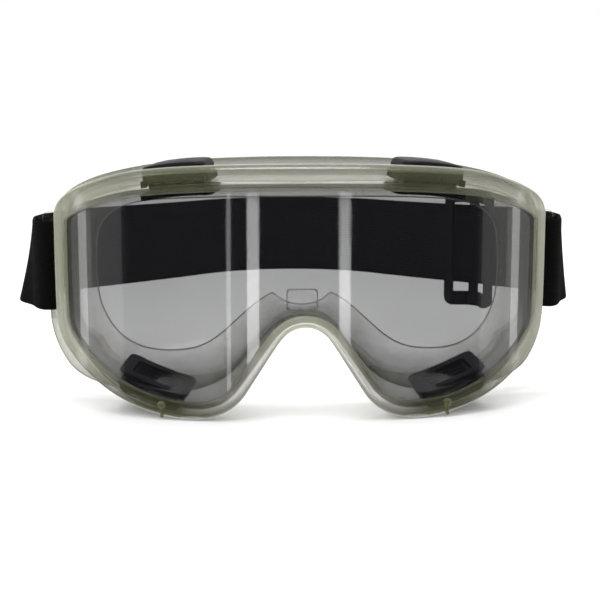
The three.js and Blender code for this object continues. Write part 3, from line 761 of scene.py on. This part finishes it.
def strap(material):
    """The webbing in one piece, with its flat length and width as the map that its weave follows."""
    centres = strap_centres()
    profile = webbing_profile()
    sections, lengths = [], []
    length = 0.0
    for i, (centre, out, s) in enumerate(centres):
        before = centres[max(0, i - 1)][0]
        after = centres[min(len(centres) - 1, i + 1)][0]
        along = (after - before).normalized()
        normal = Vector((along.y, -along.x))
        length += (centre - before).length
        lengths.append(length)
        sections.append([settled(centre + normal * a, out, s, b) for a, b in profile])
    points, faces = skin(sections)
    piece = new_piece("strap", points, faces, material, sharp=60)
    web = piece.data.uv_layers.new(name="webbing")
    for loop in piece.data.loops:
        i, j = divmod(loop.vertex_index, len(profile))
        web.data[loop.index].uv = (lengths[i] / 1000, (profile[j][1] + STRAP_WIDTH / 2) / 1000)
    start, end = (in_frame((0, y, STRAP_MIDDLE)) for y in STRAP_BLEND)
    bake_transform(piece)
    layers = ["strap_band", "strap_fold_left", "strap_tail_right", "strap_loop_right", "strap_loop_left"]
    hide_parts(*layers)


def stitch(start, end, out, radius):
    """Points and faces of one raised stitch between two places on the webbing."""
    along = (end - start).normalized()
    across = out.cross(along).normalized()
    turns = [k * math.pi / 3 for k in range(6)]
    ring = [across * math.cos(turn) + out * (math.sin(turn) * STITCH_FLATNESS) for turn in turns]
    sections = []
    for t, lift, girth in STITCH_LEVELS:
        middle = start.lerp(end, t) + out * (lift * radius)
        sections.append([middle + offset * (radius * girth) for offset in ring])
    return skin(sections)


def bar_tack(name, node, s, layer, face, material):
    """A zigzag of stitches down the webbing at s, on the outer (1) or inner (-1) layer and face."""
    centre, out, _ = layer_centre(s, layer)
    _, heading, _ = strap_at(s)
    surface = centre + out * (face * STRAP_THICKNESS / 2)
    away = Vector((out.x * face, out.y * face, 0))
    stitches = []
    for i in range(TACK_STITCHES):
        low = lerp(-TACK_HALF_HEIGHT, TACK_HALF_HEIGHT, i / TACK_STITCHES)
        high = lerp(-TACK_HALF_HEIGHT, TACK_HALF_HEIGHT, (i + 1) / TACK_STITCHES)
        along = heading * (TACK_HALF_WIDTH if i % 2 else -TACK_HALF_WIDTH)
        start = settled(surface - along, out, s, low)
        end = settled(surface + along, out, s, high)
        stitches.append(stitch(start, end, away, STITCH_RADIUS))
    points, faces = joined(stitches)
    piece = new_piece(name, points, faces, material)
    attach(piece, "strap")
    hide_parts(node)


def slider(material):
    """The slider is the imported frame's own piece, with its edges rounded."""
    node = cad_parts["strap_slider"]
    node.data.materials.clear()
    node.data.materials.append(material)
    rounding = node.modifiers.new("rounded_edges", "BEVEL")
    rounding.width = SLIDER_ROUNDING / 1000
    rounding.segments = 3
    rounding.limit_method = "ANGLE"
    rounding.angle_limit = math.radians(40)
    rounding.harden_normals = True


# ---------------------------------------------------------------- materials
# Colours from dark to light. Pitches of the weave are in metres.
VENT_SHADES = ((0.005, 0.005, 0.006), (0.009, 0.009, 0.010))
SCREEN_SHADES = ((0.006, 0.005, 0.006), (0.010, 0.009, 0.010))
SLIDER_SHADES = ((0.005, 0.005, 0.005), (0.009, 0.009, 0.009))
# The webbing's dark colour is partly painted shade, laid in the low parts of the weave.
WEBBING_SHADED_AND_LIT = ((0.0016, 0.0016, 0.0016), (0.0062, 0.0060, 0.0058))
THREAD_SHADES = ((0.008, 0.008, 0.0075), (0.03, 0.029, 0.027))
RIB_PITCH = 0.0014
WEFT_PITCH = 0.0011


def new_material(name):
    material = bpy.data.materials.new(name)
    material.use_nodes = True
    nodes = material.node_tree.nodes
    return material, nodes, material.node_tree.links, nodes["Principled BSDF"]


def noise(nodes, links, source, scale, detail=4.0):
    node = nodes.new("ShaderNodeTexNoise")
    node.inputs["Scale"].default_value = scale
    node.inputs["Detail"].default_value = detail
    links.new(source, node.inputs["Vector"])
    return node.outputs["Fac"]


def between(nodes, links, source, low, high, start=0.0, end=1.0):
    """A value that runs from low to high as source runs from start to end."""
    node = nodes.new("ShaderNodeMapRange")
    node.inputs["From Min"].default_value = start
    node.inputs["From Max"].default_value = end
    node.inputs["To Min"].default_value = low
    node.inputs["To Max"].default_value = high
    links.new(source, node.inputs["Value"])
    return node.outputs["Result"]


def mixed_colour(nodes, links, factor, first, second):
    node = nodes.new("ShaderNodeMix")
    node.data_type = "RGBA"
    node.inputs["A"].default_value = (*first, 1)
    node.inputs["B"].default_value = (*second, 1)
    links.new(factor, node.inputs["Factor"])
    return node.outputs["Result"]


def towards(nodes, links, factor, start, colour):
    """A colour that goes from another node's colour to a fixed one as the factor goes from 0 to 1."""
    mix = nodes.new("ShaderNodeMix")
    mix.data_type = "RGBA"
    mix.inputs["B"].default_value = (*colour, 1)
    links.new(factor, mix.inputs["Factor"])
    links.new(start, mix.inputs["A"])
    return mix.outputs["Result"]


def math_node(nodes, links, operation, first, second=None):
    """The result of an operation on one or two values, each a number or another node's."""
    node = nodes.new("ShaderNodeMath")
    node.operation = operation
    for socket, value in zip(node.inputs, (first, second)):
        if isinstance(value, (int, float)):
            socket.default_value = value
        elif value is not None:
            links.new(value, socket)
    return node.outputs["Value"]


def bump(nodes, links, shader, height, strength, distance):
    node = nodes.new("ShaderNodeBump")
    node.inputs["Strength"].default_value = strength
    node.inputs["Distance"].default_value = distance
    links.new(height, node.inputs["Height"])
    links.new(node.outputs["Normal"], shader.inputs["Normal"])


def object_place(nodes):
    return nodes.new("ShaderNodeTexCoord").outputs["Object"]


def grazing(nodes, blend):
    """From 0 where a surface faces the view up to 1 where it is seen from the side."""
    node = nodes.new("ShaderNodeLayerWeight")
    node.inputs["Blend"].default_value = blend
    return node.outputs["Facing"]


def stored(nodes, name):
    """The value stored at the mesh's points under a name, 0 where there is none."""
    node = nodes.new("ShaderNodeAttribute")
    node.attribute_name = name
    return node.outputs["Fac"]


def soft_vinyl():
    """Clear vinyl with a yellow-green cast that shows in its thick rim and at its cut edges."""
    material, nodes, links, shader = new_material("soft_vinyl")
    place = object_place(nodes)
    cloud = noise(nodes, links, place, 38)
    fine = noise(nodes, links, place, 900, 2)
    body = stored(nodes, "body")
    edge = stored(nodes, "edge")
    thick = mixed_colour(nodes, links, cloud, (0.050, 0.050, 0.022), (0.084, 0.083, 0.042))
    # The pale, cloudy colour is partly the vinyl's own and partly painted light over its shaded and side
    # parts.
    cloudy_and_lit = towards(nodes, links, stored(nodes, "cloudiness_and_painted_light"), thick, (0.68, 0.68, 0.51))
    links.new(towards(nodes, links, edge, cloudy_and_lit, (0.17, 0.185, 0.045)), shader.inputs["Base Color"])
    sight = between(nodes, links, body, 0.03, 0.63, 0.0, MOST_BODY)
    side = between(nodes, links, grazing(nodes, 0.5), 0.0, 0.55, 0.35, 1.0)
    rim = math_node(nodes, links, "MULTIPLY", edge, 0.6)
    cover = math_node(nodes, links, "ADD", math_node(nodes, links, "ADD", sight, side), rim)
    links.new(math_node(nodes, links, "MINIMUM", cover, 0.93), shader.inputs["Alpha"])
    links.new(between(nodes, links, cloud, 0.18, 0.32, 0.3, 0.7), shader.inputs["Roughness"])
    shader.inputs["IOR"].default_value = 1.53
    shader.inputs["Specular IOR Level"].default_value = 0.5
    shader.inputs["Coat Weight"].default_value = 0.4
    shader.inputs["Coat Roughness"].default_value = 0.1
    bump(nodes, links, shader, fine, 0.06, 0.0003)
    return material


def clear_plastic():
    """Lightly smoked, glossy lens with faint wiped smears."""
    material, nodes, links, shader = new_material("clear_lens")
    place = object_place(nodes)
    smear = noise(nodes, links, place, 24, 6)
    shader.inputs["Base Color"].default_value = (0.009, 0.009, 0.011, 1)
    edge = grazing(nodes, 0.2)
    body = between(nodes, links, edge, 0.51, 0.9, 0.1, 1.0)
    haze = between(nodes, links, smear, -0.012, 0.012, 0.3, 0.7)
    links.new(math_node(nodes, links, "ADD", body, haze), shader.inputs["Alpha"])
    links.new(between(nodes, links, smear, 0.025, 0.07, 0.3, 0.7), shader.inputs["Roughness"])
    shader.inputs["IOR"].default_value = 1.58
    return material


def moulded_plastic(name, shades, roughness, grain):
    """Black moulded plastic with a fine grain."""
    material, nodes, links, shader = new_material(name)
    place = object_place(nodes)
    cloud = noise(nodes, links, place, 60)
    fine = noise(nodes, links, place, 2600, 2)
    links.new(mixed_colour(nodes, links, cloud, *shades), shader.inputs["Base Color"])
    gloss = between(nodes, links, cloud, roughness, roughness + 0.12, 0.3, 0.7)
    links.new(gloss, shader.inputs["Roughness"])
    shader.inputs["Specular IOR Level"].default_value = 0.04
    bump(nodes, links, shader, fine, grain, 0.0002)
    return material


def woven_elastic():
    """Black woven webbing: ribs along its length crossed by fine weft, coloured darker in the weave's low
    parts as painted shade.
    """
    material, nodes, links, shader = new_material("woven_elastic")
    web = nodes.new("ShaderNodeUVMap")
    web.uv_map = "webbing"
    split = nodes.new("ShaderNodeSeparateXYZ")
    links.new(web.outputs["UV"], split.inputs["Vector"])

    def calculated(operation, first, second=None):
        return math_node(nodes, links, operation, first, second)

    rib_turn = calculated("MULTIPLY", split.outputs["Y"], math.tau / RIB_PITCH)
    rib = calculated("ABSOLUTE", calculated("SINE", rib_turn))
    weft_turn = calculated("MULTIPLY", split.outputs["X"], math.tau / WEFT_PITCH)
    row = calculated("FLOOR", calculated("MULTIPLY", split.outputs["Y"], 2 / RIB_PITCH))
    shifted = calculated("ADD", weft_turn, calculated("MULTIPLY", row, math.pi / 2))
    weft = calculated("ABSOLUTE", calculated("SINE", shifted))
    weave = calculated("MULTIPLY", rib, calculated("ADD", weft, 0.4))
    fuzz = noise(nodes, links, object_place(nodes), 1500, 3)
    height = calculated("ADD", weave, calculated("MULTIPLY", fuzz, 0.5))
    # The weave and its fuzz set the colour: the weave's pattern, with painted shade where they are low.
    colour = mixed_colour(nodes, links, calculated("MULTIPLY", height, 0.6), *WEBBING_SHADED_AND_LIT)
    links.new(colour, shader.inputs["Base Color"])
    shader.inputs["Roughness"].default_value = 0.82
    shader.inputs["Specular IOR Level"].default_value = 0.02
    bump(nodes, links, shader, height, 0.5, 0.0003)
    return material


def sewing_thread():
    """Black thread that catches more light than the webbing."""
    material, nodes, links, shader = new_material("sewing_thread")
    twist = noise(nodes, links, object_place(nodes), 2400, 3)
    links.new(mixed_colour(nodes, links, twist, *THREAD_SHADES), shader.inputs["Base Color"])
    shader.inputs["Roughness"].default_value = 0.7
    bump(nodes, links, shader, twist, 0.5, 0.0002)
    return material


# ---------------------------------------------------------------- studio
CAMERA_TARGET = (-1.9, 0.0, 40.8)
CAMERA_DISTANCE = 430.0
CAMERA_AZIMUTH = -2.5
CAMERA_HEIGHT = 9.0
CAMERA_LENS = 81.4
# The floor lies this far under the goggles, in metres.
FLOOR_GAP = 0.0002
# Lamps that the lens mirrors as soft streaks: place across, width and power.
STREAKS = [(-0.298, 0.085, 0.9), (0.347, 0.08, 0.85), (-0.478, 0.03, 0.15)]


def camera():
    azimuth, height = math.radians(CAMERA_AZIMUTH), math.radians(CAMERA_HEIGHT)
    back = Vector(
        (math.sin(azimuth) * math.cos(height), -math.cos(azimuth) * math.cos(height), math.sin(height))
    )
    data = bpy.data.cameras.new("camera")
    data.lens = CAMERA_LENS
    data.sensor_width = 36
    data.clip_start = 0.01
    data.clip_end = 20
    view = bpy.data.objects.new("camera", data)
    view.location = in_frame(Vector(CAMERA_TARGET) + back * CAMERA_DISTANCE)
    view.rotation_euler = back.to_track_quat("Z", "Y").to_euler()
    bpy.context.collection.objects.link(view)
    bpy.context.scene.camera = view


def panel(name, centre, half_size, colour):
    """A flat part of the stage, in metres: a floor if it has no height, upright if it has no depth."""
    x, y, z = centre
    across, deep, up = half_size
    signs = ((-1, -1), (1, -1), (1, 1), (-1, 1))
    corners = [(x + i * across, y + j * deep, z + j * up) for i, j in signs]
    mesh = bpy.data.meshes.new(name)
    mesh.from_pydata(corners, [], [(0, 1, 2, 3)])
    material, nodes, links, shader = new_material(name)
    cloud = noise(nodes, links, object_place(nodes), 3)
    darker = tuple(c * 0.985 for c in colour)
    links.new(mixed_colour(nodes, links, cloud, darker, colour), shader.inputs["Base Color"])
    shader.inputs["Roughness"].default_value = 0.9
    shader.inputs["Specular IOR Level"].default_value = 0.0
    mesh.materials.append(material)
    made = bpy.data.objects.new(name, mesh)
    bpy.context.collection.objects.link(made)
    return made


def area_light(name, place, target, size, power):
    """A lamp at a place, turned to a target, that the camera doesn't see."""
    data = bpy.data.lights.new(name, "AREA")
    data.shape = "RECTANGLE"
    data.size, data.size_y = size
    data.energy = power
    light = bpy.data.objects.new(name, data)
    light.location = place
    light.rotation_euler = (Vector(place) - Vector(target)).to_track_quat("Z", "Y").to_euler()
    light.visible_camera = False
    bpy.context.collection.objects.link(light)


def stage():
    """A white floor, and a dark card that only mirrors show, behind the lamps in front."""
    floor = panel("floor", (0, 0, -FLOOR_GAP), (6, 6, 0), (0.95, 0.95, 0.95))
    floor.visible_glossy = False
    card = panel("dark_card", (0.2, -1.62, -0.25), (3.2, 0, 0.62), (0.004, 0.004, 0.004))
    card.visible_camera = False
    card.visible_diffuse = False
    card.visible_shadow = False
    card.visible_transmission = False


def white_world():
    """An even white background that also lights the goggles."""
    world = bpy.data.worlds.new("studio")
    world.use_nodes = True
    world.node_tree.nodes["Background"].inputs["Color"].default_value = (1.0, 1.0, 1.0, 1)
    world.node_tree.nodes["Background"].inputs["Strength"].default_value = 1.0
    bpy.context.scene.world = world


def lamps():
    """A weak sun, boxes round the goggles, two above that brighten the floor inside, and the streaks."""
    middle = in_frame((0, 30, 40))
    sky = bpy.data.lights.new("sky", "SUN")
    sky.energy = 0.35
    sky.angle = math.radians(80)
    lamp = bpy.data.objects.new("sky", sky)
    bpy.context.collection.objects.link(lamp)
    area_light("top_box", (0.1, -0.1, 1.1), middle, (0.9, 0.7), 2.5)
    area_light("left_box", (-0.9, -0.7, 0.75), middle, (0.5, 0.7), 4.0)
    area_light("inside_box", in_frame((0, 100, 340)), in_frame((0, 100, 0)), (0.14, 0.09), 0.3)
    area_light("under_box", in_frame((0, 118, 88)), in_frame((0, 118, 0)), (0.13, 0.08), 0.075)
    for side in (-1, 1):
        area_light(f"side_box_{side + 1}", (side * 1.2, 0.05, 0.1), middle, (0.16, 0.9), 2.2)
    for i, (x, width, power) in enumerate(STREAKS):
        area_light(f"streak_{i}", (x, -1.545, -0.2), (x * 0.6, -0.07, 0.0), (width, 0.3), power)


# ---------------------------------------------------------------- the scene
def build():
    camera()
    stage()
    white_world()
    lamps()
    vinyl = soft_vinyl()
    vent_plastic = moulded_plastic("vent_plastic", VENT_SHADES, roughness=0.3, grain=0.05)
    vent_dark = moulded_plastic("vent_screen", SCREEN_SHADES, roughness=0.55, grain=0.1)
    slider_plastic = moulded_plastic("slider_plastic", SLIDER_SHADES, roughness=0.34, grain=0.08)
    thread = sewing_thread()
    soft_frame(vinyl)
    nose_tab(vinyl)
    clear_lens(clear_plastic())
    vents(vent_plastic, vent_dark)
    for side_name, side in (("right", 1), ("left", -1)):
        strap_lug(side_name, side, vinyl)
        lens_key(side_name, side, vinyl)
    strap(woven_elastic())
    bar_tack("stitches_left", "strap_tack_left", STRAP_LENGTH - FOLD_TACK, 1, 1, thread)
    bar_tack("stitches_right", "strap_tack_right", TAIL_END - TAIL_TACK, -1, -1, thread)
    slider(slider_plastic)
    bpy.context.scene.view_settings.view_transform = "Standard"


build()
